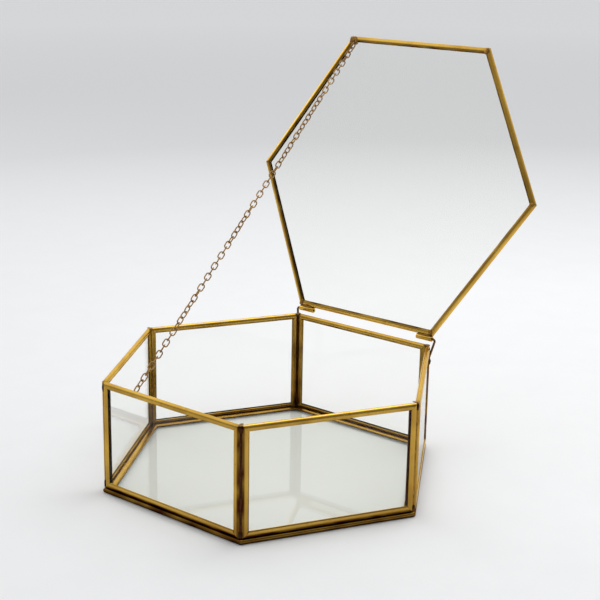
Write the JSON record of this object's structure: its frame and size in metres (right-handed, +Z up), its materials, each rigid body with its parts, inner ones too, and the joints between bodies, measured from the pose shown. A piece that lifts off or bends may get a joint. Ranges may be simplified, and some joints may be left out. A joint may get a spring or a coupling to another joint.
{
  "type": "wedding card box",
  "caption": "Hexagonal clear glass box with brass edge strips and a hinged glass lid that a fine stay chain holds open; collects cards at a wedding.",
  "frame": {"origin": "centre of the hexagonal footprint, on the table", "axes": "+Z up, the front wall faces -Y, the hinge lies along X at +Y"},
  "size_m": [0.22, 0.2479, 0.2601],
  "materials": {
    "brass": "polished",
    "glass": "clear",
    "solder": "dull, brown patina",
    "chain": "satin"
  },
  "bodies": {
    "box": {"back_bottom_strip": "brass", "back_floor_strip": "brass", "back_glass": "glass", "back_left_bottom_strip": "brass", "back_left_floor_strip": "brass", "back_left_glass": "glass", "back_left_post_left": "brass", "back_left_post_right": "brass", "back_left_top_strip": "brass", "back_post_left": "brass", "back_post_right": "brass", "back_right_bottom_strip": "brass", "back_right_floor_strip": "brass", "back_right_glass": "glass", "back_right_post_left": "brass", "back_right_post_right": "brass", "back_right_top_strip": "brass", "back_top_strip": "brass", "floor_glass": "glass", "floor_solder": "solder", "front_bottom_strip": "brass", "front_floor_strip": "brass", "front_glass": "glass", "front_left_bottom_strip": "brass", "front_left_floor_strip": "brass", "front_left_glass": "glass", "front_left_post_left": "brass", "front_left_post_right": "brass", "front_left_top_strip": "brass", "front_post_left": "brass", "front_post_right": "brass", "front_right_bottom_strip": "brass", "front_right_floor_strip": "brass", "front_right_glass": "glass", "front_right_post_left": "brass", "front_right_post_right": "brass", "front_right_top_strip": "brass", "front_top_strip": "brass", "left_hinge_pin": "brass", "right_hinge_pin": "brass", "rim_eye": "chain", "rim_solder": "solder"},
    "lid": {"back_left_lid_strip": "brass", "back_lid_strip": "brass", "back_right_lid_strip": "brass", "front_left_lid_strip": "brass", "front_lid_strip": "brass", "front_right_lid_strip": "brass", "left_hinge_tube": "brass", "lid_eye": "chain", "lid_glass": "glass", "lid_solder": "solder", "right_hinge_tube": "brass"},
    "chain_1": {"chain_run_1": "chain"},
    "chain_2": {"chain_run_2": "chain"},
    "chain_3": {"chain_run_3": "chain"},
    "chain_4": {"chain_run_4": "chain"},
    "chain_5": {"chain_run_5": "chain"},
    "chain_6": {"chain_run_6": "chain"}
  },
  "joints": [
    {"name": "lid_hinge", "type": "hinge", "parent": "box", "child": "lid", "pos_m": [0, 0.09706, 0.0753], "axis": [1, 0, 0], "range_deg": [0, 106.6]},
    {"name": "chain_1_fold", "type": "hinge", "parent": "box", "child": "chain_1", "pos_m": [-0.032, -0.08901, 0.0695], "axis": [1, 0, 0], "range_deg": [-118.11, 0]},
    {"name": "chain_2_fold", "type": "hinge", "parent": "chain_1", "child": "chain_2", "pos_m": [-0.03576, -0.04111, 0.10726], "axis": [1, 0, 0], "range_deg": [0, 84.53]},
    {"name": "chain_6_fold", "type": "hinge", "parent": "lid", "child": "chain_6", "pos_m": [-0.0505, 0.14635, 0.25507], "axis": [1, 0, 0], "range_deg": [-41.89, 0]},
    {"name": "chain_5_fold", "type": "hinge", "parent": "chain_6", "child": "chain_5", "pos_m": [-0.04674, 0.09845, 0.21731], "axis": [1, 0, 0], "range_deg": [0, 64.49]},
    {"name": "chain_4_fold", "type": "hinge", "parent": "chain_5", "child": "chain_4", "pos_m": [-0.04566, 0.08477, 0.20652], "axis": [1, 0, 0], "range_deg": [0, 122.69]},
    {"name": "chain_3_fold", "type": "hinge", "parent": "chain_4", "child": "chain_3", "pos_m": [-0.04405, 0.06424, 0.19033], "axis": [1, 0, 0], "range_deg": [-122.69, 0]}
  ],
  "couplings": [
    {"joint": "chain_1_fold", "follows": "lid_hinge", "ratio": -1.107},
    {"joint": "chain_2_fold", "follows": "lid_hinge", "ratio": 0.792},
    {"joint": "chain_6_fold", "follows": "lid_hinge", "ratio": -0.392},
    {"joint": "chain_5_fold", "follows": "lid_hinge", "ratio": 0.604},
    {"joint": "chain_4_fold", "follows": "lid_hinge", "ratio": 1.15},
    {"joint": "chain_3_fold", "follows": "lid_hinge", "ratio": -1.15}
  ]
}
